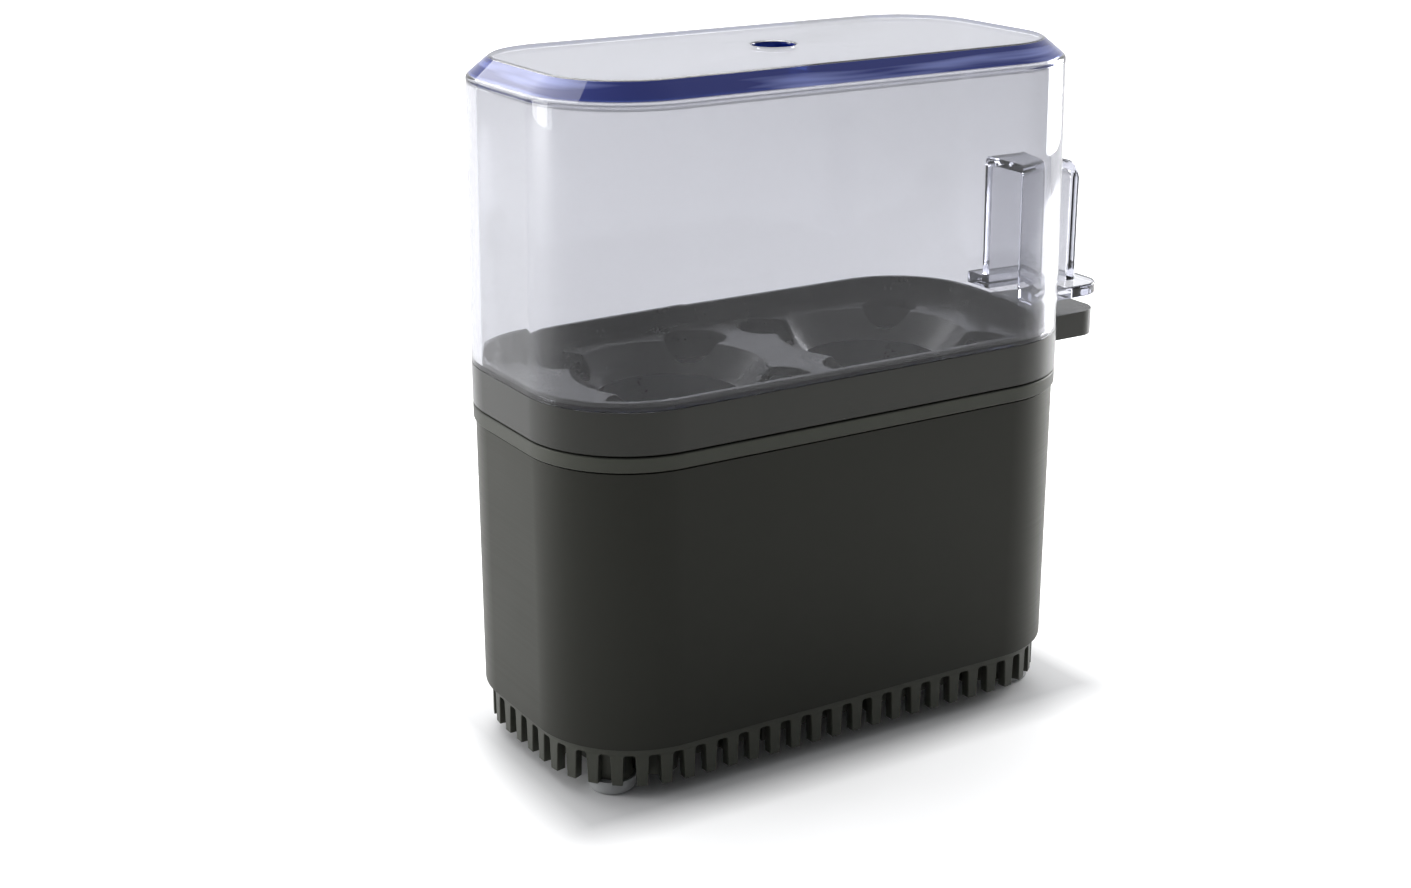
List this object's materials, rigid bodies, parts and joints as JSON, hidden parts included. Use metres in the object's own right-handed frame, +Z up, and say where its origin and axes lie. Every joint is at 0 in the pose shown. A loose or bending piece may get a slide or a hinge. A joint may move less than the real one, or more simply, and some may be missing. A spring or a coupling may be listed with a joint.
{
  "type": "egg cooker",
  "caption": "Narrow electric egg cooker: clear hooded lid with a side grip over a lift-out egg tray, a brushed dark metal body with a water dish and heater inside, and a vented base.",
  "frame": {"origin": "centre of the body's outline, in the plane that the feet stand on", "axes": "+Z up, +X along the body towards the grip and the switch, +Y to the rear, where the gland is"},
  "size_m": [0.1469, 0.0675, 0.147],
  "materials": {
    "dark_base": "fine satin grain",
    "dark_sleeve": "dark, brushed lengthwise",
    "dark_tray": "satin, polished floor",
    "clear_plastic": "polished, clear",
    "foot_rubber": "matt, light grey",
    "screw_steel": "plated",
    "dish_coat": "grey coated sheet",
    "silicone": "matt, translucent white",
    "cast_plate": "as cast",
    "element_tube": "drawn tube",
    "ceramic": "fired, matt white",
    "plated_steel": "zinc plated",
    "brass": "turned",
    "phenolic": "moulded dark brown",
    "glass_fibre": "woven, off-white",
    "block_plastic": "natural white",
    "black_plastic": "fine grain",
    "rocker_black": "smooth",
    "lens_red": "clear tint",
    "lamp_glass": "clear",
    "wire_brown": "smooth insulation",
    "wire_blue": "smooth insulation",
    "wire_green": "smooth insulation"
  },
  "bodies": {
    "body": {"base_cover": "dark_base", "rubber_feet": "foot_rubber", "base_screws": "screw_steel", "outer_sleeve": "dark_sleeve", "housing_frame": "dark_base", "heating_dish": "dish_coat", "dish_gasket": "silicone", "heater_plate": "cast_plate", "heater_element": "element_tube", "heater_insulators": "ceramic", "heater_pins": "plated_steel", "clamp_studs": "plated_steel", "clamp_bridges": "plated_steel", "clamp_washers": "plated_steel", "clamp_nuts": "plated_steel", "earth_tag": "brass", "thermostat_cup": "cast_plate", "thermostat_strap": "plated_steel", "strap_screws": "screw_steel", "thermostat_body": "phenolic", "thermostat_tabs": "brass", "thermal_fuse": "plated_steel", "fuse_sleeve": "glass_fibre", "fuse_clip": "plated_steel", "fuse_screw": "screw_steel", "heat_shield": "plated_steel", "shield_screws": "screw_steel", "terminal_block": "block_plastic", "terminal_inserts": "brass", "terminal_screws": "screw_steel", "block_screws": "screw_steel", "cord_gland": "black_plastic", "gland_nut": "black_plastic", "switch_housing": "black_plastic", "switch_terminals": "brass", "switch_lamp": "lamp_glass", "wire_switch_feed": "wire_brown", "wire_switch_out": "wire_brown", "wire_fuse_link": "wire_brown", "wire_heater_live": "wire_brown", "wire_neutral": "wire_blue", "wire_earth": "wire_green"},
    "tray": {"egg_tray": "dark_tray"},
    "lid": {"lid": "clear_plastic"},
    "rocker": {"switch_rocker": "rocker_black", "rocker_lens": "lens_red"}
  },
  "joints": [
    {"name": "tray_lift", "type": "slide", "parent": "body", "child": "tray", "axis": [0, 0, 1], "range_m": [0, 0.1]},
    {"name": "lid_lift", "type": "slide", "parent": "tray", "child": "lid", "axis": [0, 0, 1], "range_m": [0, 0.08]},
    {"name": "rocker_tip", "type": "hinge", "parent": "body", "child": "rocker", "pos_m": [0.0624, 0, 0.027], "axis": [0, -1, 0], "range_deg": [0, 20]}
  ]
}
